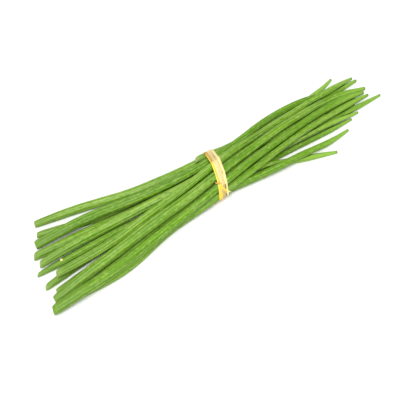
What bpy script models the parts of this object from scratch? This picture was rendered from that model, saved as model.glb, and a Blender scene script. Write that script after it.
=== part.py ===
"""A bunch of whole moringa pods, tied round the middle with raffia and lying on a surface.

The bunch lies along X, stem ends at -X and pointed tips at +X, and the surface is at Z = 0.
Each pod is laid by hand through a few places. spread() then moves the pods apart until none touch,
and the tie is wound round them where they come together.
"""

import math

import bmesh
import bpy
import numpy as np
from mathutils import Vector

MM = 0.001

# The middle of the bunch, in mm from where the tie crosses it. It ends up over the origin.
MIDDLE = (4.0, -6.5)

# Places along the bunch where the pods' routes are stated, in mm from the tie.
STATIONS = (-150, -90, -35, 45, 105, 160, 200)

# One row for each pod, in mm: its greatest radius, the share of it left at the stem end, the stem end
# (x, y, z), the pod's centre (y, z) at each of the stations up to its last bend, and its pointed tip (x, y, z).
# A place before the stem end isn't used. Positive y is the far side of the bunch.
PODS = {
    "pod_01": (5.8, 0.75, (-217, 49, 6),
               ((40, 7), (25, 14), (20, 16), (28, 7), (31, 6), (38, 4), (51, 4)), (215, 59, 5)),
    "pod_02": (5.2, 0.7, (-221, 35, 6),
               ((15, 6), (14, 6), (18, 6), (19, 6), (24, 6), (25, 5)), (203, 27, 5)),
    "pod_03": (6.4, 0.92, (-228, 18, 13),
               ((18, 17), (9, 25), (2, 32), (18, 28), (37, 20), (41, 16), (38, 7)), (243, 41, 5)),
    "pod_04": (6.2, 0.8, (-237, 9, 6),
               ((9, 6), (7, 6), (9, 6), (10, 6), (15, 6), (17, 5)), (224, 16, 4.5)),
    "pod_05": (5.1, 0.7, (-62, 8, 15),
               ((8, 15), (8, 15), (9, 15), (13, 12), (18, 9), (21, 7)), (165, 22, 6)),
    "pod_06": (5.0, 0.7, (-62, -3, 6),
               ((-3, 6), (-3, 6), (0, 6), (2, 6), (5, 5), (7, 5)), (218, 9, 4.5)),
    "pod_07": (6.3, 0.7, (-236, -10, 12),
               ((-4, 15), (-1, 18), (-3, 25), (4, 19), (9, 12)), (165, 13, 9)),
    "pod_08": (5.2, 0.5, (-243, -12, 5),
               ((-9, 6), (-10, 6), (-9, 6), (-7, 6), (-3, 6), (-1, 5)), (256, 5, 4.5)),
    "pod_09": (5.6, 0.9, (-225, -32, 12),
               ((-26, 18), (-18, 26), (-14, 33), (6, 30), (23, 19), (30, 17), (36, 13)), (239, 46, 8)),
    "pod_10": (5.1, 0.7, (-60, -6, 16),
               ((-6, 16), (-6, 16), (-3, 15), (0, 12), (3, 9), (6, 9)), (172, 7, 9)),
    "pod_11": (5.2, 0.75, (-242, -35, 5),
               ((-21, 6), (-19, 15), (-12, 16), (-9, 13), (-7, 10), (-5, 8)), (214, -4, 5)),
    "pod_12": (7.2, 0.7, (-239, -60, 11),
               ((-42, 16), (-32, 27), (-24, 31), (-4, 28), (12, 22), (21, 15), (27, 11)), (245, 22, 9)),
    "pod_13": (5.2, 0.66, (-232, -48, 5),
               ((-35, 6), (-24, 6), (-18, 6), (-14, 6), (-10, 6), (-8, 5)), (201, -7, 5)),
    "pod_14": (6.0, 0.7, (-180, -47, 5),
               ((-43, 6), (-30, 15), (-22, 15), (-17, 7), (-30, 5)), (155, -43, 5)),
    "pod_15": (6.9, 0.92, (-247, -67, 14),
               ((-58, 17), (-42, 20), (-30, 25), (-11, 25), (2, 19), (14, 14)), (238, 18, 8)),
    "pod_16": (5.7, 0.7, (-24, -22, 7),
               ((-22, 7), (-22, 7), (-22, 7), (-25, 11), (-29, 17), (-26, 8)), (187, -21, 5)),
    "pod_17": (5.6, 0.85, (-212, -62, 5.5),
               ((-58, 6), (-38, 7), (-31, 15), (-19, 20), (-8, 18), (2, 12)), (242, 15, 7)),
    "pod_18": (5.0, 0.85, (-14, 24, 20),
               ((24, 20), (24, 20), (24, 20), (26, 16), (31, 12)), (128, 31, 11)),
}

# A pod's shape: soft ribs, a long taper towards the tip, and a rounded stem end with a small cut face.
RIBS = 9
VALLEY = 0.91
TAPER = 0.3
TAPER_FROM, TAPER_TO = 0.12, 0.78
TIP_LENGTH, TIP_SHARE = 40.0, 0.5
STEM_LENGTH = 55.0
ROUND_LENGTH, ROUND_SHARE = 5.0, 0.72
TWIST = math.radians(35)

# Where the rings of faces lie along a pod, in mm.
STEM_RINGS = (0.0, 1.2, 5.0)
RING_STEP = 25.0
TIP_RINGS = (12.0, 3.0, 0.0)

# How the routes are spread, in mm, and what share of the way each round goes.
GRID = 10.0
GAP = 0.6
ROUNDS, LAST_ROUNDS = 900, 400
PULL = 0.02
SINK = 0.05
SQUEEZE = 0.012
STIFFNESS = 0.35

# The raffia tie, in mm: a strip wound side by side, slanting across the bunch, with a knot on the near side.
TIE_X, TIE_SLANT = 2.5, math.radians(15)
TIE_CENTRE = (-4.5, 18.5)
TIE_ALONG = np.array([math.sin(TIE_SLANT), math.cos(TIE_SLANT), 0])
TIE_SQUARE = np.array([math.cos(TIE_SLANT), -math.sin(TIE_SLANT), 0])
STRANDS, STRAND_WIDTH, STRAND_THICK = 5, 2.5, 1.2
STRAND_EDGE = 0.5
TIE_LIFT = STRAND_THICK + GAP + 0.07
TIE_HALF = STRANDS * STRAND_WIDTH / 2
ROUND_POINTS = 20
KNOT_TOWARDS = (-0.62, 0.78)
KNOT_SIZE = (4.2, 5.2, 2.4)
TAIL_LENGTH, TAIL_WIDTH, TAIL_THICK = 12.5, 1.5, 0.6

POD_COLOUR = (0.235, 0.42, 0.06, 1)
RAFFIA_COLOUR = (0.78, 0.62, 0.2, 1)


def clear_scene():
    for obj in list(bpy.data.objects):
        bpy.data.objects.remove(obj)


def material(name, colour, roughness):
    made = bpy.data.materials.new(name)
    made.use_nodes = True
    shader = made.node_tree.nodes["Principled BSDF"]
    shader.inputs["Base Color"].default_value = colour
    shader.inputs["Roughness"].default_value = roughness
    made.diffuse_color = colour
    return made


def smooth(share):
    share = np.clip(share, 0, 1)
    return share * share * (3 - 2 * share)


def radius_along(row, x):
    """The pod's radius at each x between its ends."""
    greatest, stem_share, stem, _, tip = row
    from_stem, to_tip = x - stem[0], tip[0] - x
    share = from_stem / (tip[0] - stem[0])
    body = 1 - TAPER * smooth((share - TAPER_FROM) / (TAPER_TO - TAPER_FROM))
    point = TIP_SHARE + (1 - TIP_SHARE) * smooth(to_tip / TIP_LENGTH)
    swell = 1 - (1 - stem_share) * (1 - np.clip(from_stem / STEM_LENGTH, 0, 1)) ** 2
    edge = 1 - (1 - ROUND_SHARE) * (1 - np.clip(from_stem / ROUND_LENGTH, 0, 1)) ** 2
    return greatest * body * point * swell * edge


def through(at, values, x):
    """A smooth curve through the values at each of the places, read at x."""
    slopes = np.gradient(values, at, axis=0)
    i = np.clip(np.searchsorted(at, x) - 1, 0, len(at) - 2)
    span = (at[i + 1] - at[i])[:, None]
    t = (np.clip(x, at[0], at[-1]) - at[i])[:, None] / span
    leaving = (2 * t**3 - 3 * t**2 + 1) * values[i] + (t**3 - 2 * t**2 + t) * slopes[i] * span
    arriving = (3 * t**2 - 2 * t**3) * values[i + 1] + (t**3 - t**2) * slopes[i + 1] * span
    return leaving + arriving


def laid_route(row, x):
    """The pod's route as laid by hand, (y, z) at each x."""
    _, _, stem, places, tip = row
    knots = [stem, *((at, *place) for at, place in zip(STATIONS, places) if stem[0] < at < tip[0]), tip]
    knots = np.array(knots, float)
    return through(knots[:, 0], knots[:, 1:], x)


def push_apart(places, reach):
    """How far to move pods that lie closer than their radii allow, in each plane of the grid."""
    away = places[:, None] - places[None]
    distance = np.linalg.norm(away, axis=-1)
    both = (reach[:, None] > 0) & (reach[None] > 0) & ~np.eye(len(reach), dtype=bool)[..., None]
    short = np.where(both, np.maximum(reach[:, None] + reach[None] + GAP - distance, 0), 0)
    push = 0.5 * short[..., None] * away / np.maximum(distance, 1e-6)[..., None]
    return push.sum(axis=1)


def evened(moved, inside):
    """How far each place is from the middle of its neighbours, for a pod is stiff and bends evenly."""
    before, after = np.roll(moved, 1, axis=1), np.roll(moved, -1, axis=1)
    has_both = inside & np.roll(inside, 1, axis=1) & np.roll(inside, -1, axis=1)
    has_both[:, [0, -1]] = False
    return np.where(has_both[..., None], (before + after) / 2 - moved, 0)


def spread():
    """The grid of x, which of its places each pod reaches, and the pods' centres (y, z) there, apart."""
    grid = np.arange(-265, 275, GRID)
    rows = list(PODS.values())
    laid = np.array([laid_route(row, grid) for row in rows])
    ends = np.array([(row[2][0], row[4][0]) for row in rows])
    inside = (grid > ends[:, :1] - GRID) & (grid < ends[:, 1:] + GRID)
    radii = [radius_along(row, np.clip(grid, x[0] + ROUND_LENGTH, x[1])) for row, x in zip(rows, ends)]
    radii = np.where(inside, radii, 0)
    floor = radii + np.where(np.abs(grid - TIE_X) < TIE_HALF + RING_STEP, TIE_LIFT, 0)
    held = np.exp(-(((grid - TIE_X) / 22) ** 2))[:, None]
    now = laid.copy()
    for step in range(ROUNDS + LAST_ROUNDS):
        settling = step < ROUNDS
        if settling:
            now[..., 0] += PULL * (laid[..., 0] - now[..., 0])
            now[..., 1] -= SINK
            now += SQUEEZE * held * (np.array(TIE_CENTRE) - now)
        slope = np.gradient(now, grid, axis=1)
        reach = radii * np.sqrt(1 + (slope**2).sum(axis=-1))
        now += (STIFFNESS if settling else 0.02) * evened(now - laid, inside)
        for _ in range(4):
            now += 0.6 * push_apart(now, reach)
            now[..., 1] = np.maximum(now[..., 1], floor)
    return grid, inside, now


def ring_places(stem_x, tip_x):
    """Where a pod's rings lie along X: close together at both ends, and a step apart between."""
    first, last = stem_x + STEM_RINGS[-1], tip_x - TIP_RINGS[0]
    steps = round((last - first) / RING_STEP)
    middle = np.linspace(first, last, steps + 1)[1:-1]
    return np.concatenate([stem_x + np.array(STEM_RINGS), middle, tip_x - np.array(TIP_RINGS)])


def ringed(grid, inside, now):
    """For each pod, its rings of faces: where along X, their centres (y, z) and their radii."""
    rings = []
    for reached, route, row in zip(inside, now, PODS.values()):
        x = ring_places(row[2][0], row[4][0])
        yz = through(grid[reached], route[reached], x)
        radii = radius_along(row, x)
        yz[:, 1] = np.maximum(yz[:, 1], radii)
        rings.append((x, yz, radii))
    return rings


def curve_through(name, points, radii, profile, closed=False):
    """A curve object through points in mm, with the profile swept along it at those radii."""
    curve = bpy.data.curves.new(name, "CURVE")
    curve.dimensions = "3D"
    spline = curve.splines.new("POLY")
    spline.points.add(len(points) - 1)
    for point, place, radius in zip(spline.points, points, radii):
        point.co = (*(MM * float(value) for value in place), 1)
        point.radius = float(radius)
    spline.use_cyclic_u = closed
    curve.bevel_mode = "OBJECT"
    curve.bevel_object = profile
    curve.use_fill_caps = not closed
    return bpy.data.objects.new(name, curve)


def profile_curve(name, outline, guides):
    """A closed outline in mm, kept as a guide that the other curves sweep."""
    curve = bpy.data.curves.new(name, "CURVE")
    curve.dimensions = "2D"
    spline = curve.splines.new("POLY")
    spline.points.add(len(outline) - 1)
    for point, (u, v) in zip(spline.points, outline):
        point.co = (MM * u, MM * v, 0, 1)
    spline.use_cyclic_u = True
    made = bpy.data.objects.new(name, curve)
    made.hide_render = True
    made.display_type = "WIRE"
    guides.objects.link(made)
    return made


def ribbed_outline():
    """A circle of radius 1 with a crest and a valley for each rib."""
    turns = [-math.pi * i / RIBS for i in range(2 * RIBS)]
    reach = [1 if i % 2 == 0 else VALLEY for i in range(2 * RIBS)]
    return [(r * math.cos(turn), r * math.sin(turn)) for r, turn in zip(reach, turns)]


def strand_outline():
    """The tie's section: flat within, and a low ridge outside for each turn of the strip."""
    outline = [(-TIE_HALF, 0.0)]
    for strand in range(STRANDS):
        start = -TIE_HALF + strand * STRAND_WIDTH
        outline += [(start + 0.05, STRAND_EDGE), (start + 0.45, STRAND_THICK)]
        outline += [(start + STRAND_WIDTH - 0.45, STRAND_THICK), (start + STRAND_WIDTH - 0.05, STRAND_EDGE)]
    outline += [(TIE_HALF, 0.0)]
    return outline


def make_pods(rings, parts, profile, look):
    seeded = np.random.default_rng(11)
    for name, (x, yz, radii) in zip(PODS, rings):
        pod = curve_through(name, np.column_stack([x, yz]), radii, profile)
        turned = seeded.uniform(0, 2 * math.pi / RIBS)
        spline = pod.data.splines[0]
        spline.use_smooth = True
        for point, share in zip(spline.points, (x - x[0]) / (x[-1] - x[0])):
            point.tilt = turned + TWIST * share
        pod.data.materials.append(look)
        parts.objects.link(pod)


def outline_round(points):
    """The convex outline of points in a plane, anticlockwise."""
    points = sorted(map(tuple, points))

    def half(ordered):
        chain = []
        for point in ordered:
            while len(chain) > 1:
                (ay, az), (by, bz) = chain[-2:]
                if (by - ay) * (point[1] - az) - (bz - az) * (point[0] - ay) > 1e-9:
                    break
                chain.pop()
            chain.append(point)
        return chain[:-1]

    return np.array(half(points) + half(points[::-1]))


def levelled(line):
    """The line with its lowest stretch level, so that the strip outside it lies flat on the surface."""
    low = line[:, 1] < STRAND_THICK + 1
    first, last = line[low, 0].min(), line[low, 0].max()
    flat = [(along, STRAND_THICK) for along in (first, first + 2, last - 2, last)]
    start = np.argmax(low)
    return np.vstack([line[:start], flat, line[start:][~low[start:]]])


def tie_route(rings):
    """The tie's inner line: the convex outline of every pod's section there, seen square to the tie's plane."""
    origin = np.array([TIE_X, TIE_CENTRE[0], 0])
    turns = np.linspace(0, 2 * math.pi, ROUND_POINTS, endpoint=False)
    circle = np.column_stack([np.cos(turns), np.sin(turns)]) / math.cos(math.pi / ROUND_POINTS)
    points = []
    for x, yz, radii in rings:
        places = np.column_stack([x, yz]) - origin
        beside, along = places @ TIE_SQUARE, places @ TIE_ALONG
        for edge in (-TIE_HALF, 0, TIE_HALF):
            centre = [np.interp(edge, beside, along), np.interp(edge, beside, yz[:, 1])]
            points.extend(centre + (np.interp(edge, beside, radii) + GAP) * circle)
    line = levelled(outline_round(points))
    return origin + line[:, :1] * TIE_ALONG + line[:, 1:] * np.array([0, 0, 1])


def meshed(obj, name, collection):
    """The curve object made a mesh object of that name, with its caps welded on."""
    graph = bpy.context.evaluated_depsgraph_get()
    mesh = bpy.data.meshes.new_from_object(obj.evaluated_get(graph))
    made = bpy.data.objects.new(name, mesh)
    made.matrix_world = obj.matrix_world
    bpy.data.objects.remove(obj)
    shape = bmesh.new()
    shape.from_mesh(mesh)
    bmesh.ops.remove_doubles(shape, verts=shape.verts, dist=1e-6)
    bmesh.ops.recalc_face_normals(shape, faces=shape.faces)
    shape.to_mesh(mesh)
    shape.free()
    collection.objects.link(made)
    return made


def make_knot(place, outward, guides):
    """The tie's knot, a flattened ball that sits half in the band."""
    bpy.ops.mesh.primitive_uv_sphere_add(segments=14, ring_count=8, radius=1)
    knot = bpy.context.object
    knot.name = "tie_knot"
    knot.scale = [MM * size for size in KNOT_SIZE]
    knot.rotation_euler = (math.atan2(-outward.y, outward.z), 0, math.radians(12))
    knot.location = MM * (place + 1.3 * outward)
    for collection in list(knot.users_collection):
        collection.objects.unlink(knot)
    guides.objects.link(knot)
    return knot


def make_tail(name, place, outward, direction, guides, profile):
    """A short loose end of the strip, from inside the knot out over the band's edge."""
    points = []
    for share in (0.0, 0.35, 0.7, 1.0):
        rise = 1.9 + 0.9 * math.sin(2.4 * share)
        points.append(place + rise * outward + share * TAIL_LENGTH * direction.normalized())
    tail = curve_through(name, points, (1, 1, 0.95, 0.8), profile)
    guides.objects.link(tail)
    bpy.context.view_layer.update()
    return meshed(tail, name, guides)


def make_tie(route, parts, guides, look):
    band_profile = profile_curve("tie_profile", strand_outline(), guides)
    u, v = TAIL_THICK / 2, TAIL_WIDTH / 2
    flat = [(-u, -v), (u, -v), (u, v), (-u, v)]
    tail_profile = profile_curve("tail_profile", flat, guides)
    band = curve_through("tie_band", route, np.ones(len(route)), band_profile, closed=True)
    parts.objects.link(band)
    bpy.context.view_layer.update()
    tie = meshed(band, "raffia_tie", parts)
    outward = Vector(KNOT_TOWARDS[0] * TIE_ALONG) + Vector((0, 0, KNOT_TOWARDS[1]))
    square = Vector(TIE_SQUARE)
    round_band = square.cross(outward)
    place = Vector(max(route, key=lambda point: outward.dot(Vector(point))))
    pieces = [
        make_knot(place, outward, guides),
        make_tail("tail_left", place, outward, 0.35 * round_band - square, guides, tail_profile),
        make_tail("tail_right", place, outward, square - 0.5 * round_band, guides, tail_profile),
    ]
    for piece in pieces:
        piece.hide_render = True
        piece.display_type = "WIRE"
        joined = tie.modifiers.new(piece.name, "BOOLEAN")
        joined.operation = "UNION"
        joined.object = piece
    tie.data.materials.append(look)
    return tie


def centre(collections):
    """Hangs every object on one empty, which brings the middle of the bunch over the origin."""
    middle = bpy.data.objects.new("middle", None)
    middle.location = (-MM * MIDDLE[0], -MM * MIDDLE[1], 0)
    bpy.context.scene.collection.objects.link(middle)
    for collection in collections:
        for obj in collection.objects:
            obj.parent = middle


def main():
    clear_scene()
    parts = bpy.data.collections.new("bunch of moringa pods")
    guides = bpy.data.collections.new("guides")
    for collection in (parts, guides):
        bpy.context.scene.collection.children.link(collection)
    rings = ringed(*spread())
    pod_profile = profile_curve("pod_profile", ribbed_outline(), guides)
    make_pods(rings, parts, pod_profile, material("moringa green", POD_COLOUR, 0.5))
    make_tie(tie_route(rings), parts, guides, material("raffia", RAFFIA_COLOUR, 0.65))
    centre((parts, guides))


if __name__ == "__main__":
    main()
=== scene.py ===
"""The looks of a bunch of moringa pods tied with raffia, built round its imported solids.

Each pod is read off its solid as a line of centres with a radius at each, and lofted again with soft ribs,
slight bulges over its seeds, a cut stem end and a withered tip. The raffia is wound round the pods again as
several fibrous strips, with a knot and two loose ends.
"""

import math

import bpy
import numpy as np
from mathutils import Matrix, Vector


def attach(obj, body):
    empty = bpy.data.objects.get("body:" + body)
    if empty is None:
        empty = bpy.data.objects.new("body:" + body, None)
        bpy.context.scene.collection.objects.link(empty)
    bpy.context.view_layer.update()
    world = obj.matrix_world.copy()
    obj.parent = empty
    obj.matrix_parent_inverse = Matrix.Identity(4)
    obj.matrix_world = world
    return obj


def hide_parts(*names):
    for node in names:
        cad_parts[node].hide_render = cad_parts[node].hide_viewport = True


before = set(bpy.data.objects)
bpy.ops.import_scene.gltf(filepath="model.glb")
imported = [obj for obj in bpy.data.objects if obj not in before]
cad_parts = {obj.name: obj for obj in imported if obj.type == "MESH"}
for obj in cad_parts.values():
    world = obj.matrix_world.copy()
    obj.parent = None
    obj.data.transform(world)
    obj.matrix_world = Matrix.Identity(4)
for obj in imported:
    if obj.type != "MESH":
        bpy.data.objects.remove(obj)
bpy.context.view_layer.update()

MM = 0.001

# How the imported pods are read, in mm: how far apart the slices are, how far inside a pod's ends they begin,
# how far beyond them the line is carried on, and the length that it is smoothed over. The radius at the tip
# goes on narrowing by a share of the last step's.
SLICE_EVERY = 2.5
SLICES_INSIDE = 2.0
CARRIED_ON = 0.9
SMOOTH_OVER = 9.0
TIP_NARROWS_ON = 0.6

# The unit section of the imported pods: a crest of radius 1 and a valley for each rib.
RIBS = 9
VALLEY = 0.91
UNIT_AREA = RIBS * VALLEY * math.sin(math.pi / RIBS)

# The rings that a pod is lofted through, in mm from its ends: close together there, evenly apart between.
SIDES = 10 * RIBS
RING_EVERY = 2.4
STEM_RINGS = [0, 0.5, 1.1, 2, 3.2, 4.6]
TIP_RINGS = np.array([4.4, 3, 1.8, 1.0, 0.5])
EVEN_RINGS_FROM = 6

# The pods' skin. Depths and widths are shares of the radius, and lengths are in mm.
GROOVE = 0.07
RIB_ROUNDNESS = 0.6
SEAMS = 3
LOBE = 0.035
TWIST = math.radians(35)
RIBS_BEGIN = 9
RIBS_FADE = 60
FAINTEST_RIBS = 0.35
WAVES = ((1, 140), (2, 95), (3, 63), (5, 47))
SEED_EVERY = 19.0
SEED_WIDTH = 0.3 * SEED_EVERY
SEED_BULGE = 0.02
SEEDS_FROM_STEM, SEEDS_FROM_TIP = 45, 60
TIP_TAPER = 0.12
TIP_LENGTH = 12
LOWEST = 0.02

# Where the skin's look changes, in mm: how near another pod the painted contact shade begins, how long the
# stem end is, greyer and darkened further as painted shade where the key light falls brightest, and how long
# the thin end is, brightened as painted light where the key light falls dimmer, how far from the end the tip
# begins to be dry, and over what length.
CONTACT_SHADE_GAP = 2.3
STEM_LENGTH = 70
THIN_LENGTH = 90
DRY_FROM, DRY_WITHIN = 3.2, 2.6

# The cuts slant: how far the far upper side of each pod's stem end is cut back, as a share of its radius.
# Pods that are not listed are cut back by a random share. The slant fades out over a length in mm.
CUT_BACK = {
    "pod_01": 0.3,
    "pod_04": 1.1,
    "pod_07": 1.3,
    "pod_08": 1.5,
    "pod_09": 0.8,
    "pod_11": 1.5,
    "pod_15": 0.7,
    "pod_18": 1.2,
}
OTHER_CUT_BACK = (0.2, 0.7)
CUT_FACING = np.array([0.1, 0.65, 0.75])
CUT_FADES = 26

# The cut face at a pod's stem end: each ring's size, how far it is sunk in mm, and how deep its lobes are.
FACE_DEPTH = 0.25
FACE_RINGS = np.array([0.12, 0.35, 0.6, 0.8, 0.93])
FACE_SUNK = np.array([0.45, 0.3, 0.2, 0.1, -0.1])
FACE_LOBES = np.array([0.2, 0.9, 1.0, 0.6, 0.3])

# The small dry scar: its pod, its place along the bunch, and its rings' sizes and heights, in mm.
SCAR_ON, SCAR_X = "pod_08", -213.0
SCAR_FACING = np.array([-0.1, 0.12, 0.98])
SCAR_SIZES = np.array([1.75, 1.7, 1.45, 1.0, 0.5])
SCAR_HEIGHTS = np.array([-0.6, 0.05, 0.35, 0.5, 0.42])
SCAR_SIDES = 24

# The tie, in mm: where its middle is, how it slants, how far to each side of it the bunch is measured, how
# far off the surface its turns and its strips stay, how fine the strips are, and how long their pleats'
# waves are.
TIE_AT = np.array([-1.5, 2.0, 18.5])
TIE_SLANT = math.radians(15)
TIE_ALONG = np.array([math.sin(TIE_SLANT), math.cos(TIE_SLANT), 0])
TIE_SQUARE = np.array([math.cos(TIE_SLANT), -math.sin(TIE_SLANT), 0])
UP = np.array([0.0, 0.0, 1.0])
TIE_REACH = 16.0
CIRCLE_POINTS = 48
TURNS_LOWEST = 0.35
STRIPS_LOWEST = 0.03
POINTS_A_TURN = 240
FEWEST_POINTS = 28
STRIP_COLUMNS = 15
PLEAT_WAVES = (37, 61, 90)

# The camera: its place in mm, looking down at the near side from the left, and its lens and sensor in mm.
EYE = (-332.8, -541.6, 921.6)
AZIMUTH, ELEVATION = math.radians(-30.4), math.radians(57)
FOCAL, SENSOR = 79.33, 36.0

# The studio, in metres and watts: half the floor's side, and each light's place, side and power.
FLOOR_HALF = 3.0
FLOOR_WHITE = (0.9, 0.9, 0.9, 1)
SKY_STRENGTH = 0.42
LIGHTS = {
    "key": ((-0.95, -1.5, 3.9), 1.8, 180),
    "fill": ((0.4, 2.0, 2.6), 2.0, 14),
}


def linear(*srgb):
    """A colour given as 0 to 255 on screen, as the shader's own linear values."""
    shares = [value / 255 for value in srgb]
    return tuple(s / 12.92 if s <= 0.04045 else ((s + 0.055) / 1.055) ** 2.4 for s in shares) + (1.0,)


def smooth(share):
    """A share clamped to 0 to 1, with soft ends."""
    share = np.clip(share, 0, 1)
    return share * share * (3 - 2 * share)


def smoothed(values, step, over):
    """Values at even steps, averaged over a distance, with both ends carried on straight."""
    reach = int(2.5 * over / step)
    weights = np.exp(-0.5 * (np.arange(-reach, reach + 1) * step / over) ** 2)
    far = np.arange(reach, 0, -1)[:, None]
    before = values[0] - far * (values[4] - values[0]) / 4
    after = values[-1] + far[::-1] * (values[-1] - values[-5]) / 4
    padded = np.vstack([before, values, after])
    columns = [np.convolve(column, weights / weights.sum(), "valid") for column in padded.T]
    return np.array(columns).T


def section(points, edges, x):
    """The centre (y, z) and the area of a solid's section at x."""
    first, second = points[edges[:, 0]], points[edges[:, 1]]
    across = (first[:, 0] - x) * (second[:, 0] - x) < 0
    first, second = first[across], second[across]
    share = (x - first[:, :1]) / (second[:, :1] - first[:, :1])
    cut = (first + share * (second - first))[:, 1:]
    middle = (cut.max(axis=0) + cut.min(axis=0)) / 2
    away = cut - middle
    away = away[np.argsort(np.arctan2(away[:, 1], away[:, 0]))]
    following = np.roll(away, -1, axis=0)
    pieces = away[:, 0] * following[:, 1] - away[:, 1] * following[:, 0]
    centre = ((away + following) * pieces[:, None]).sum(axis=0) / (3 * pieces.sum())
    return middle + centre, pieces.sum() / 2


def read_pod(node):
    """The pod's centres and radii in mm, from its stem end to its tip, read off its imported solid."""
    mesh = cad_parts[node].data
    points = np.array([vertex.co for vertex in mesh.vertices]) / MM
    edges = np.array([edge.vertices for edge in mesh.edges])
    count = round((np.ptp(points[:, 0]) - 2 * SLICES_INSIDE) / SLICE_EVERY)
    x = np.linspace(points[:, 0].min() + SLICES_INSIDE, points[:, 0].max() - SLICES_INSIDE, count)
    read = [section(points, edges, at) for at in x]
    step = x[1] - x[0]
    centres = np.column_stack([x, smoothed(np.array([centre for centre, _ in read]), step, SMOOTH_OVER)])
    tangents = np.gradient(centres, axis=0)
    lean = tangents[:, 0] / np.linalg.norm(tangents, axis=1)
    radii = np.sqrt(np.array([area for _, area in read]) * lean / UNIT_AREA)
    share = CARRIED_ON / step
    first = centres[0] - share * (centres[1] - centres[0])
    last = centres[-1] + share * (centres[-1] - centres[-2])
    first_radius = radii[0] - share * (radii[1] - radii[0])
    last_radius = radii[-1] - TIP_NARROWS_ON * (radii[-2] - radii[-1])
    return np.vstack([first, centres, last]), np.concatenate([[first_radius], radii, [last_radius]])


def frames_along(centres):
    """Unit directions along a line of centres: forward, to the side and up."""
    forward = np.gradient(centres, axis=0)
    forward /= np.linalg.norm(forward, axis=1)[:, None]
    side = np.cross(UP, forward)
    side /= np.linalg.norm(side, axis=1)[:, None]
    return forward, side, np.cross(forward, side)


def even_places(length):
    """Distances along a pod at which its rings lie: close together at both ends."""
    count = round((length - 2 * EVEN_RINGS_FROM) / RING_EVERY)
    between = np.linspace(EVEN_RINGS_FROM, length - EVEN_RINGS_FROM, count)
    return np.concatenate([STEM_RINGS, between, length - TIP_RINGS])


def seed_bulges(seeded, along, length):
    """How much a pod swells at each place, as a share of its radius: a low bulge over each seed."""
    swell = np.zeros_like(along)
    at = SEEDS_FROM_STEM + seeded.uniform(0, SEED_EVERY)
    while at < length - SEEDS_FROM_TIP:
        size = seeded.uniform(0.3, 1.0)
        swell += size * np.exp(-(((along - at) / SEED_WIDTH) ** 2))
        at += SEED_EVERY * seeded.uniform(0.8, 1.25)
    return SEED_BULGE * (swell - 1)


def pod_line(seeded, centres, radii):
    """The pod's line at its rings: the distance along it, the centres and the radii."""
    steps = np.linalg.norm(np.diff(centres, axis=0), axis=1)
    measured = np.concatenate([[0], np.cumsum(steps)])
    along = even_places(measured[-1])
    line = np.column_stack([np.interp(along, measured, centres[:, i]) for i in range(3)])
    radius = np.interp(along, measured, radii) * (1 + seed_bulges(seeded, along, measured[-1]))
    radius *= 1 - TIP_TAPER * smooth((along - measured[-1] + TIP_LENGTH) / TIP_LENGTH)
    return along, line, radius


def lofted(name, rings, extras, closing):
    """A mesh through rings of points, closed at each end on one more point, with values for each point."""
    count, sides, _ = rings.shape
    points = np.vstack([rings.reshape(-1, 3), closing]) * MM
    ring, side = np.meshgrid(np.arange(count - 1), np.arange(sides), indexing="ij")
    corner = ring * sides + side
    beside = ring * sides + (side + 1) % sides
    quads = np.stack([corner, beside, beside + sides, corner + sides], axis=-1).reshape(-1, 4)
    start, end = count * sides, count * sides + 1
    fans = [(start, (i + 1) % sides, i) for i in range(sides)]
    last = (count - 1) * sides
    fans += [(end, last + i, last + (i + 1) % sides) for i in range(sides)]
    mesh = bpy.data.meshes.new(name)
    mesh.from_pydata(points.tolist(), [], quads.tolist() + fans)
    mesh.shade_smooth()
    for key, values in extras.items():
        kind, field = ("FLOAT_VECTOR", "vector") if values.ndim == 2 else ("FLOAT", "value")
        mesh.attributes.new(key, kind, "POINT").data.foreach_set(field, values.astype(np.float32).ravel())
    made = bpy.data.objects.new(name, mesh)
    bpy.context.scene.collection.objects.link(made)
    return made


def contact_shade(points, others):
    """How near each point lies to another pod's skin, for painted contact shade: 0 where it is clear of it, 1
    where they touch.
    """
    nearest = np.full(points.shape[:-1], np.inf)
    x, y, z = points[..., 0], points[..., 1], points[..., 2]
    for line, radius in others:
        beside = (x > line[0, 0]) & (x < line[-1, 0])
        across = y - np.interp(x, line[:, 0], line[:, 1])
        above = z - np.interp(x, line[:, 0], line[:, 2])
        gap = np.hypot(across, above) - np.interp(x, line[:, 0], radius)
        nearest = np.where(beside, np.minimum(nearest, gap), nearest)
    return 1 - smooth(nearest / CONTACT_SHADE_GAP)


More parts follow.
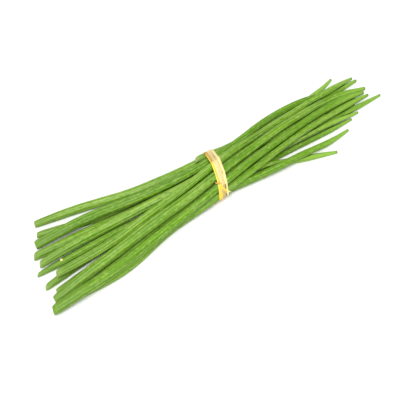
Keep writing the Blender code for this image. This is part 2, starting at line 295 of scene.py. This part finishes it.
def pod_skin(seeded, along, line, radius, cut_back):
    """The skin's rings of points, its own flat coordinates, and how deep in a groove each point lies."""
    length = along[-1]
    around = 2 * math.pi * np.arange(SIDES) / SIDES
    crest = (0.5 - 0.5 * np.cos(RIBS * around)) ** RIB_ROUNDNESS
    seam = 0.5 + 0.5 * np.cos(SEAMS * around)
    toward_tip = FAINTEST_RIBS + (1 - FAINTEST_RIBS) * smooth((length - along) / RIBS_FADE)
    ribbed = smooth(along / RIBS_BEGIN) * toward_tip
    sunk = GROOVE * (0.5 + seam) * (1 - crest) + LOBE * seam
    waves = sum(
        seeded.uniform(0.002, 0.006)
        * (1 + np.sin(k * around[None] + 2 * math.pi * along[:, None] / wave + seeded.uniform(0, 6.3)))
        for k, wave in WAVES
    )
    reach = radius[:, None] * (1 - ribbed[:, None] * (sunk[None] + waves))
    angle = seeded.uniform(0, 2 * math.pi) + (TWIST * along / length)[:, None] + around[None]
    forward, side, up = frames_along(line)
    outward = np.cos(angle)[..., None] * side[:, None] + np.sin(angle)[..., None] * up[:, None]
    rings = line[:, None] + reach[..., None] * outward
    slant = 0.5 * cut_back * (reach + ((rings - line[:, None]) @ CUT_FACING))
    slant *= (1 - smooth(along / CUT_FADES))[:, None]
    rings += slant[..., None] * forward[:, None]
    rings[..., 2] = np.maximum(rings[..., 2], LOWEST)
    flat = [reach * np.cos(around), reach * np.sin(around), np.repeat(along[:, None], SIDES, axis=1)]
    # How deep in a groove each point lies, which the skin's look darkens as painted shade.
    groove = ribbed[:, None] * (1 - crest)[None] * (0.6 + 0.4 * seam)[None]
    return rings, np.stack(flat, axis=-1), groove


def cut_face(line, first_ring, flat_ring):
    """The cut face's rings, drawn in from the skin's edge, lobed and a little hollow inside."""
    forward = frames_along(line)[0][0]
    middle = first_ring.mean(axis=0)
    lobed = 0.5 + 0.5 * np.cos(RIBS * 2 * math.pi * np.arange(SIDES) / SIDES)
    size = FACE_RINGS[:, None] * (1 - FACE_DEPTH * FACE_LOBES[:, None] * lobed[None])
    rings = middle + FACE_SUNK[:, None, None] * forward + size[..., None] * (first_ring - middle)[None]
    flat = [size * flat_ring[:, 0], size * flat_ring[:, 1], np.repeat(-FACE_RINGS[:, None], SIDES, axis=1)]
    return rings, np.stack(flat, axis=-1), middle + 0.5 * forward


def pod_values(seeded, along, groove, near, skin, number):
    """The values that the skin's look reads at each point, the two closing points last."""
    length = along[-1]
    faces = len(FACE_RINGS)
    whole = np.concatenate([np.full(faces, -1.0), along])[:, None] * np.ones(SIDES)
    none = np.zeros((faces, SIDES))
    fields = {
        "groove": (np.vstack([none, groove]), 0, 0),
        "near": (np.vstack([none, near]), 0, 0),
        "cut": (1 - smooth((whole + 0.2) / 0.5), 1, 0),
        "stem": (1 - smooth(whole / STEM_LENGTH), 1, 0),
        "thin": (smooth((whole - length + THIN_LENGTH) / THIN_LENGTH), 0, 1),
        "withered": (smooth((whole - length + DRY_FROM) / DRY_WITHIN), 0, 1),
    }
    values = {
        key: np.concatenate([field.ravel(), [first, last]])
        for key, (field, first, last) in fields.items()
    }
    values["skin"] = skin + np.array([0, 0, 1000 * number])
    values["tone"] = np.full(len(skin), seeded.uniform(-1, 1))
    return values


def make_pod(node, number, shapes, look):
    """The pod that stands for a node, lofted along its solid's line with ribs, bulges and finished ends."""
    seeded = np.random.default_rng(100 + number)
    along, line, radius = shapes[node]
    cut_back = CUT_BACK.get(node, seeded.uniform(*OTHER_CUT_BACK))
    rings, flat, groove = pod_skin(seeded, along, line, radius, cut_back)
    # How near each point lies to the other pods, which the skin's look darkens as painted contact shade.
    near = contact_shade(rings, [shape[1:] for other, shape in shapes.items() if other != node])
    face, face_flat, hollow = cut_face(line, rings[0], flat[0])
    tip = line[-1] + 0.45 * frames_along(line)[0][-1]
    ends = [[0, 0, -0.1], [0, 0, along[-1]]]
    skin = np.vstack([np.concatenate([face_flat, flat]).reshape(-1, 3), ends])
    values = pod_values(seeded, along, groove, near, skin, number)
    pod = lofted("whole_" + node, np.concatenate([face, rings]), values, np.array([hollow, tip]))
    pod.data.materials.append(look)
    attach(pod, "root")
    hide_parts(node)


def make_scar(shapes, look):
    """The small dry scar on one pod's upper side, near its stem end."""
    _, line, radius = shapes[SCAR_ON]
    centre = np.array([np.interp(SCAR_X, line[:, 0], line[:, i]) for i in range(3)])
    outward = SCAR_FACING / np.linalg.norm(SCAR_FACING)
    place = centre + (np.interp(SCAR_X, line[:, 0], radius) - 0.1) * outward
    side = np.cross(UP, outward)
    side /= np.linalg.norm(side)
    ahead = np.cross(outward, side)
    seeded = np.random.default_rng(5)
    turns = 2 * math.pi * np.arange(SCAR_SIDES) / SCAR_SIDES
    ragged = 1 + sum(
        seeded.uniform(0.03, 0.08) * np.sin(k * turns + seeded.uniform(0, 6.3))
        for k in (2, 3, 5)
    )
    circle = (np.cos(turns) * ragged)[:, None] * side + (np.sin(turns) * ragged)[:, None] * ahead
    rings = place + SCAR_SIZES[:, None, None] * circle[None] + SCAR_HEIGHTS[:, None, None] * outward
    closing = np.array([place - 0.6 * outward, place + 0.36 * outward])
    strip = np.vstack([rings.reshape(-1, 3), closing])
    scar = lofted("dry_scar", rings, {"strip": strip, "pleat_shade": np.full(len(strip), 0.2)}, closing)
    scar.data.materials.append(look)
    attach(scar, "root")


def add_node(tree, kind, inputs=None, **settings):
    """Adds a shader node, with each of its inputs given as a value or as another node's output."""
    made = tree.nodes.new(kind)
    for key, value in settings.items():
        setattr(made, key, value)
    for key, value in (inputs or {}).items():
        if isinstance(value, bpy.types.NodeSocket):
            tree.links.new(value, made.inputs[key])
        else:
            made.inputs[key].default_value = value
    return made


def attribute(tree, name, output="Fac"):
    """A value that the mesh gives for each point."""
    return add_node(tree, "ShaderNodeAttribute", attribute_name=name).outputs[output]


def noise(tree, place, scale, detail=3.0, rough=0.55):
    """Noise from 0 to 1, on coordinates stretched by a scale for each axis."""
    stretched = add_node(tree, "ShaderNodeVectorMath", {0: place, 1: scale}, operation="MULTIPLY")
    inputs = {"Vector": stretched.outputs[0], "Scale": 1.0, "Detail": detail, "Roughness": rough}
    return add_node(tree, "ShaderNodeTexNoise", inputs).outputs["Fac"]


def ranged(tree, value, low, high, to_low=0.0, to_high=1.0):
    """A value's range stretched to another, and clamped to it, with soft ends."""
    inputs = {"Value": value, "From Min": low, "From Max": high, "To Min": to_low, "To Max": to_high}
    return add_node(tree, "ShaderNodeMapRange", inputs, interpolation_type="SMOOTHSTEP").outputs["Result"]


def maths(tree, operation, first, second):
    """The sum, product or other result of two values."""
    return add_node(tree, "ShaderNodeMath", {0: first, 1: second}, operation=operation).outputs[0]


def mixed(tree, share, first, second):
    """The first colour where the share is 0, and the second where it is 1."""
    return add_node(tree, "ShaderNodeMix", {0: share, 6: first, 7: second}, data_type="RGBA").outputs[2]


def new_look(name):
    """A new material, with its node tree and its shader."""
    look = bpy.data.materials.new(name)
    look.use_nodes = True
    return look, look.node_tree, look.node_tree.nodes["Principled BSDF"]


def pod_look():
    """Green pod skin: long streaks, fine lines, pale waxy patches partly painted as sheen, painted shade in
    the grooves and where pods touch, a pale cut face and a dry tip.
    """
    look, tree, shader = new_look("moringa_skin")
    skin = attribute(tree, "skin", "Vector")
    streaks = noise(tree, skin, (0.5, 0.5, 0.012), 4.0, 0.6)
    bands = noise(tree, skin, (0.3, 0.3, 0.008), 2.0, 0.5)
    lines = noise(tree, skin, (2.2, 2.2, 0.03), 3.0, 0.6)
    patches = noise(tree, skin, (0.14, 0.14, 0.026), 3.0, 0.5)
    bloom_and_sheen = noise(tree, skin, (0.35, 0.35, 0.05), 5.0, 0.65)
    mottle = noise(tree, skin, (0.5, 0.5, 0.2), 3.0, 0.6)
    grain = noise(tree, skin, (4.0, 4.0, 1.6), 2.0, 0.5)

    green = mixed(tree, ranged(tree, streaks, 0.32, 0.68), linear(84, 132, 14), linear(138, 180, 48))
    tone = attribute(tree, "tone")
    toned = maths(tree, "ADD", maths(tree, "MULTIPLY", tone, 0.14), patches)
    thin = maths(tree, "MULTIPLY", attribute(tree, "thin"), 0.6)
    stem = maths(tree, "MULTIPLY", attribute(tree, "stem"), 0.6)
    for share, colour in (
        (ranged(tree, toned, 0.3, 0.75, 0, 0.8), (148, 184, 80)),
        (ranged(tree, tone, 0.0, -1.0, 0, 0.5), (78, 126, 14)),
        (ranged(tree, bands, 0.5, 0.7, 0, 0.6), (112, 166, 12)),
        (ranged(tree, lines, 0.56, 0.76, 0, 0.4), (166, 196, 84)),
        (ranged(tree, lines, 0.42, 0.25, 0, 0.45), (60, 104, 8)),
        # Pale waxy patches, partly painted sheen.
        (ranged(tree, bloom_and_sheen, 0.5, 0.72, 0, 0.45), (150, 178, 104)),
        (ranged(tree, mottle, 0.47, 0.31, 0, 0.65), (72, 118, 14)),
        (ranged(tree, mottle, 0.54, 0.68, 0, 0.62), (164, 195, 98)),
        # The stem end greyer and darker, partly painted shade where the key light falls brightest; the thin
        # end brighter, painted light where the key light falls dimmer.
        (stem, (114, 148, 58)),
        (thin, (142, 188, 66)),
        # Painted shade in the grooves between the ribs.
        (ranged(tree, attribute(tree, "groove"), 0.2, 1.0, 0, 0.6), (50, 96, 4)),
        (ranged(tree, grain, 0.62, 0.8, 0, 0.25), (168, 190, 118)),
        # Painted contact shade, near-black where pods touch.
        (ranged(tree, attribute(tree, "near"), 0.1, 0.85, 0, 0.97), (2, 12, 0)),
    ):
        green = mixed(tree, share, green, linear(*colour))

    rays = noise(tree, skin, (1.1, 1.1, 0.3), 4.0, 0.7)
    flesh = mixed(tree, ranged(tree, rays, 0.35, 0.65), linear(112, 144, 60), linear(176, 196, 120))
    green = mixed(tree, attribute(tree, "cut"), green, flesh)
    withered = maths(tree, "MULTIPLY", attribute(tree, "withered"), 0.5)
    green = mixed(tree, withered, green, linear(84, 98, 46))
    tree.links.new(green, shader.inputs["Base Color"])
    tree.links.new(ranged(tree, bloom_and_sheen, 0.35, 0.7, 0.42, 0.6), shader.inputs["Roughness"])
    shader.inputs["Specular IOR Level"].default_value = 0.28

    height = maths(tree, "ADD", maths(tree, "MULTIPLY", lines, 0.8), maths(tree, "MULTIPLY", grain, 0.25))
    bump = add_node(tree, "ShaderNodeBump", {"Height": height, "Strength": 0.35, "Distance": 0.25 * MM})
    tree.links.new(bump.outputs["Normal"], shader.inputs["Normal"])
    return look


def raffia_look(name, light, middle, dark):
    """Dry palm fibre: lengthwise fibres from pale straw to brown, with painted shade in the pleats' troughs
    and a soft shine.
    """
    look, tree, shader = new_look(name)
    strip = attribute(tree, "strip", "Vector")
    fibres = noise(tree, strip, (1.5, 0.03, 1.0), 4.0, 0.65)
    threads = noise(tree, strip, (6.0, 0.1, 1.0), 3.0, 0.6)
    creases = noise(tree, strip, (0.75, 0.018, 1.0), 2.0, 0.5)
    stains = noise(tree, strip, (0.4, 0.07, 1.0), 3.0, 0.5)
    straw = mixed(tree, ranged(tree, fibres, 0.35, 0.62), middle, light)
    straw = mixed(tree, ranged(tree, stains, 0.52, 0.7, 0, 0.5), straw, linear(234, 200, 146))
    straw = mixed(tree, ranged(tree, threads, 0.44, 0.3, 0, 0.5), straw, dark)
    straw = mixed(tree, ranged(tree, creases, 0.44, 0.37, 0, 0.6), straw, dark)
    # Painted shade in the pleats' troughs.
    straw = mixed(tree, ranged(tree, attribute(tree, "pleat_shade"), 0.72, 1.0, 0, 0.8), straw, dark)
    tree.links.new(straw, shader.inputs["Base Color"])
    tree.links.new(ranged(tree, fibres, 0.3, 0.7, 0.58, 0.4), shader.inputs["Roughness"])
    shader.inputs["Specular IOR Level"].default_value = 0.45
    height = maths(tree, "ADD", maths(tree, "ADD", threads, creases), maths(tree, "MULTIPLY", fibres, 0.6))
    bump = add_node(tree, "ShaderNodeBump", {"Height": height, "Strength": 0.6, "Distance": 0.3 * MM})
    tree.links.new(bump.outputs["Normal"], shader.inputs["Normal"])
    return look


def outline_round(points):
    """The convex outline of points in a plane, anticlockwise."""
    points = sorted(map(tuple, points))

    def half(ordered):
        chain = []
        for point in ordered:
            while len(chain) > 1:
                (ay, az), (by, bz) = chain[-2:]
                if (by - ay) * (point[1] - az) - (bz - az) * (point[0] - ay) > 1e-9:
                    break
                chain.pop()
            chain.append(point)
        return chain[:-1]

    return np.array(half(points) + half(points[::-1]))


def outline_at(shapes, offset):
    """The convex outline of the pods' sections in the tie's slanted plane, at an offset from its middle."""
    circle = np.linspace(0, 2 * math.pi, CIRCLE_POINTS, endpoint=False)
    circle = np.column_stack([np.cos(circle), np.sin(circle)])
    points = []
    for _, line, radius in shapes.values():
        places = line - TIE_AT
        beside, along = places @ TIE_SQUARE, places @ TIE_ALONG
        if beside[0] < offset < beside[-1]:
            centre = [np.interp(offset, beside, along), np.interp(offset, beside, places[:, 2])]
            points.extend(np.array(centre) + np.interp(offset, beside, radius) * circle)
    return outline_round(points)


def reach_round(outline, angles):
    """How far a convex outline lies from its origin in each direction."""
    run = np.roll(outline, -1, axis=0) - outline
    normal = np.column_stack([run[:, 1], -run[:, 0]])
    normal /= np.linalg.norm(normal, axis=1)[:, None]
    depth = (normal * outline).sum(axis=1)
    facing = np.column_stack([np.cos(angles), np.sin(angles)]) @ normal.T
    return np.min(np.where(facing > 1e-6, depth / np.maximum(facing, 1e-6), np.inf), axis=1)


class Winding:
    """Where a wound strip lies: by its angle round the bunch, its offset across the tie and its lift."""

    def __init__(self, shapes):
        """Reads how far the bunch reaches from the tie's middle at each offset and each degree."""
        self.offsets = np.arange(-TIE_REACH, TIE_REACH + 0.1, 1.0)
        self.angles = np.linspace(0, 2 * math.pi, 361)
        outlines = [outline_at(shapes, offset) for offset in self.offsets]
        reach = np.array([reach_round(outline, self.angles) for outline in outlines])
        kernel = np.hanning(9) / np.hanning(9).sum()
        closed = np.concatenate([reach[:, -9:-1], reach, reach[:, 1:9]], axis=1)
        self.reach = np.array([np.convolve(row, kernel, "same")[8:-8] for row in closed])

    def place(self, angle, offset, lift):
        """The points in mm at that lift outside the bunch, clear of the surface that it lies on."""
        turn = np.mod(angle, 2 * math.pi)
        column = np.array([np.interp(turn, self.angles, row) for row in self.reach])
        position = np.clip(offset - self.offsets[0], 0, len(self.offsets) - 1.001)
        low = position.astype(int)
        share = position - low
        picks = np.arange(len(turn))
        reach = column[low, picks] * (1 - share) + column[low + 1, picks] * share + lift
        along, rise = (reach * np.cos(turn))[:, None], (reach * np.sin(turn))[:, None]
        points = TIE_AT + offset[:, None] * TIE_SQUARE + along * TIE_ALONG + rise * UP
        points[:, 2] = np.maximum(points[:, 2], TURNS_LOWEST)
        return points


def knots_at(shares, knots):
    """Values read smoothly off given knots, each a share of the way followed by the values there."""
    knots = np.array(knots, float)
    spread = [np.interp(shares, knots[:, 0], knots[:, i]) for i in range(1, knots.shape[1])]
    width = max(len(shares) // 30, 1)
    kernel = np.hanning(2 * width + 3)[1:-1]
    padded = [np.pad(values, width, mode="edge") for values in spread]
    return [np.convolve(values, kernel / kernel.sum(), "valid") for values in padded]


def strip_mesh(name, middle, across, outward, widths, thickness, pleats, seeded, look):
    """A strip of raffia along a line of points, pleated lengthwise and closed at both ends."""
    u = np.linspace(-1, 1, STRIP_COLUMNS)
    along = np.concatenate([[0], np.cumsum(np.linalg.norm(np.diff(middle, axis=0), axis=1))])
    wander = sum(
        seeded.uniform(0.2, 0.5) * np.sin(2 * math.pi * along / wave + seeded.uniform(0, 6.3))
        for wave in PLEAT_WAVES
    )
    height = np.zeros((len(middle), STRIP_COLUMNS))
    for k in range(1, pleats + 1):
        phase = seeded.uniform(0, 6.3) + wander * seeded.uniform(-1, 1)
        height += np.cos(math.pi * k * 0.9 * u[None] + phase[:, None]) / pleats
    rise = 0.5 * thickness * height * (1 - np.abs(u) ** 6)
    half = thickness * (0.3 + 0.7 * np.sqrt(np.clip(1 - u**2, 0, 1)))[None] / 2
    spot = middle[:, None] + (widths[:, None] * u / 2)[..., None] * across[:, None]
    top = spot + (rise + half)[..., None] * outward[:, None]
    bottom = spot + (0.4 * rise - half)[..., None] * outward[:, None]
    rings = np.concatenate([top, bottom[:, ::-1]], axis=1)[:, ::-1]
    rings[..., 2] = np.maximum(rings[..., 2], STRIPS_LOWEST)
    flat = np.concatenate([u, u[::-1]])[None] * widths[:, None] / 2
    far = np.repeat(along[:, None], 2 * STRIP_COLUMNS, axis=1)
    strip = np.stack([flat + 50 * seeded.uniform(), far, np.zeros_like(flat)], axis=-1)[:, ::-1]
    # How deep in a pleat's trough each point on the strip's top lies, with a fixed low value underneath, for
    # the painted shade.
    pleat_shade = np.concatenate([0.5 - 0.5 * height, np.full_like(height, 0.6)], axis=1)[:, ::-1]
    values = {
        "strip": np.vstack([strip.reshape(-1, 3), strip[[0, -1]].mean(axis=1)]),
        "pleat_shade": np.concatenate([pleat_shade.ravel(), [0.5, 0.5]]),
    }
    made = lofted(name, rings, values, middle[[0, -1]])
    made.data.materials.append(look)
    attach(made, "root")
    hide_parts("raffia_tie")


def wound_strip(name, winding, turn, knots, thickness, pleats, seed, look):
    """A strip wound round the bunch between two angles, with listed offsets, lifts and widths."""
    seeded = np.random.default_rng(seed)
    start, end = turn
    count = max(round(POINTS_A_TURN * abs(end - start) / 360), FEWEST_POINTS)
    shares = np.linspace(0, 1, count)
    angle = np.radians(start + (end - start) * shares)
    offset, lift, width = knots_at(shares, knots)
    middle = winding.place(angle, offset, lift)
    forward = np.gradient(middle, axis=0)
    forward /= np.linalg.norm(forward, axis=1)[:, None]
    radial = np.cos(angle)[:, None] * TIE_ALONG + np.sin(angle)[:, None] * UP
    outward = radial - (radial * forward).sum(axis=1)[:, None] * forward
    outward /= np.linalg.norm(outward, axis=1)[:, None]
    across = np.cross(outward, forward)
    strip_mesh(name, middle, across, outward, width, thickness, pleats, seeded, look)


# The tie's strips. Each has the angles in degrees between which it winds round the bunch, where 0 is the
# far side, 90 the top and 180 the near side. Its knots give its offset, lift and width in mm at shares of
# the way. Then come its thickness in mm, its pleats, its seed and its look.
WHOLE_TURN = (20, 380)
STRIPS = {
    # The under layer, in the dark look as painted shade where it shows between the strips.
    "raffia_under": (WHOLE_TURN, [
        (0, -2.6, 0.2, 9.6), (0.1, -2.6, 0.2, 9.6), (0.2, -1.6, 0.1, 9.6),
        (0.35, -0.4, -0.1, 8.6), (0.6, -0.4, 0, 9.0), (1, -2.6, 0.2, 9.6),
    ], 0.35, 3, 20, "dark"),
    "raffia_left": (WHOLE_TURN, [
        (0, -7.4, 0.8, 2.6), (0.07, -7.5, 0.8, 2.3), (0.19, -6.4, 1.0, 2.6),
        (0.3, -5.2, 1.0, 2.5), (0.36, -4.5, 0.9, 2.8), (0.42, -4.3, 1.0, 4.0),
        (0.5, -4.6, 0.9, 4.6), (0.56, -4.8, 0.8, 3.8), (1, -7.4, 0.8, 2.6),
    ], 0.8, 2, 21, "golden"),
    "raffia_wide": (WHOLE_TURN, [
        (0, -3.4, 0.7, 5.2), (0.1, -3.4, 0.8, 5.2), (0.2, -2.4, 0.8, 5.2),
        (0.3, -1.2, 0.9, 4.8), (0.36, -0.9, 1.0, 3.6), (0.41, -0.8, 1.0, 2.0),
        (0.47, -1.0, 0.8, 2.4), (0.56, -1.2, 0.7, 4.4), (1, -3.4, 0.7, 5.2),
    ], 0.5, 5, 22, "straw"),
    "raffia_inner": (WHOLE_TURN, [
        (0, -0.4, 1.0, 2.0), (0.1, -0.4, 1.0, 2.0), (0.2, 0.6, 1.1, 2.0), (0.3, 2.0, 1.2, 2.0),
        (0.38, 1.8, 1.0, 1.3), (0.46, 1.5, 1.0, 1.7), (0.6, 1.6, 1.0, 2.0), (1, -0.4, 1.0, 2.0),
    ], 0.5, 2, 23, "straw"),
    "raffia_right": (WHOLE_TURN, [
        (0, 2.1, 0.9, 3.6), (0.1, 2.1, 0.9, 3.6), (0.2, 3.2, 1.0, 3.6), (0.3, 4.3, 1.4, 4.0),
        (0.38, 4.2, 1.5, 3.8), (0.46, 4.2, 1.4, 3.6), (0.6, 4.3, 1.0, 3.6), (1, 2.1, 0.9, 3.6),
    ], 0.7, 3, 34, "pale"),
    # Where the golden strand turns over the far upper edge, a strip in the brown look laid over it as painted
    # shade.
    "raffia_turn_shade": ((22, 60), [
        (0, -7.0, 1.2, 2.8), (0.6, -6.4, 1.5, 2.4), (1, -5.0, 1.0, 1.0),
    ], 0.5, 2, 25, "brown"),
    "raffia_cross": ((146, 180), [
        (0, -4.6, 1.0, 1.6), (0.25, -3.2, 1.7, 2.6), (0.5, -0.6, 2.1, 3.2),
        (0.8, 2.6, 1.6, 2.2), (1, 4.4, 0.9, 1.2),
    ], 0.9, 3, 26, "golden"),
    "raffia_back": ((141, 172), [
        (0, 2.4, 0.9, 1.4), (0.4, 0.4, 1.5, 2.2), (0.75, -2.4, 1.6, 2.2), (1, -4.4, 1.0, 1.4),
    ], 0.7, 3, 27, "straw"),
    "raffia_end_left": ((152, 146), [
        (0, -2.0, 1.6, 2.4), (0.4, -5.2, 2.0, 2.2), (0.8, -7.6, 1.4, 1.8), (1, -8.6, 0.9, 1.5),
    ], 0.8, 2, 28, "brown"),
    "raffia_end_right": ((170, 184), [
        (0, 3.0, 1.6, 2.0), (0.5, 6.0, 2.2, 2.2), (0.85, 8.4, 2.0, 1.6), (1, 9.6, 1.7, 1.2),
    ], 0.5, 2, 29, "pale"),
}

# The raffia's colours on screen, for each look: light, middle and dark.
RAFFIA = {
    "golden": ((255, 232, 80), (250, 212, 54), (206, 146, 44)),
    "straw": ((240, 222, 156), (226, 200, 130), (166, 122, 58)),
    "pale": ((248, 238, 174), (240, 222, 146), (214, 178, 98)),
    "brown": ((228, 180, 88), (204, 150, 66), (126, 86, 36)),
    # The dark look is painted shade, for the under layer.
    "dark": ((156, 134, 52), (122, 108, 36), (68, 66, 18)),
}


def make_tie(shapes):
    """Winds the tie's strips round the pods, and gives back the pale look."""
    looks = {
        name: raffia_look("raffia_" + name, *[linear(*colour) for colour in colours])
        for name, colours in RAFFIA.items()
    }
    winding = Winding(shapes)
    for name, (turn, knots, thickness, pleats, seed, look) in STRIPS.items():
        wound_strip(name, winding, turn, knots, thickness, pleats, seed, looks[look])
    return looks["pale"]


def make_camera():
    """The camera at its place, turned to its angles."""
    back = np.array([
        math.sin(AZIMUTH) * math.cos(ELEVATION),
        -math.cos(AZIMUTH) * math.cos(ELEVATION),
        math.sin(ELEVATION),
    ])
    right = np.array([math.cos(AZIMUTH), math.sin(AZIMUTH), 0.0])
    axes = Matrix(np.column_stack([right, np.cross(back, right), back]).tolist())
    data = bpy.data.cameras.new("camera")
    data.lens, data.sensor_width = FOCAL, SENSOR
    camera = bpy.data.objects.new("camera", data)
    camera.matrix_world = Matrix.Translation(MM * Vector(EYE)) @ axes.to_4x4()
    bpy.context.scene.collection.objects.link(camera)
    bpy.context.scene.camera = camera


def make_light(name, place, size, power):
    """A square soft light, aimed at the bunch."""
    data = bpy.data.lights.new(name, "AREA")
    data.shape = "SQUARE"
    data.size, data.energy = size, power
    light = bpy.data.objects.new(name, data)
    light.location = place
    light.rotation_euler = (-Vector(place)).to_track_quat("-Z", "Y").to_euler()
    bpy.context.scene.collection.objects.link(light)


def make_studio():
    """A plain pale floor, a soft even sky and two soft lights."""
    mesh = bpy.data.meshes.new("floor")
    corners = [(x * FLOOR_HALF, y * FLOOR_HALF, 0) for x, y in ((-1, -1), (1, -1), (1, 1), (-1, 1))]
    mesh.from_pydata(corners, [], [(0, 1, 2, 3)])
    floor = bpy.data.objects.new("floor", mesh)
    bpy.context.scene.collection.objects.link(floor)
    look, _, shader = new_look("floor_white")
    shader.inputs["Base Color"].default_value = FLOOR_WHITE
    shader.inputs["Roughness"].default_value = 0.8
    mesh.materials.append(look)
    world = bpy.data.worlds.new("studio")
    world.use_nodes = True
    sky = world.node_tree.nodes["Background"]
    sky.inputs["Color"].default_value = (1, 1, 1, 1)
    sky.inputs["Strength"].default_value = SKY_STRENGTH
    bpy.context.scene.world = world
    for name, (place, size, power) in LIGHTS.items():
        make_light(name, place, size, power)
    bpy.context.scene.view_settings.view_transform = "Standard"


names = sorted(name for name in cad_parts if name.startswith("pod_"))
shapes = {
    name: pod_line(np.random.default_rng(number), *read_pod(name))
    for number, name in enumerate(names)
}
look = pod_look()
for number, name in enumerate(names):
    make_pod(name, number, shapes, look)
make_scar(shapes, make_tie(shapes))
make_camera()
make_studio()
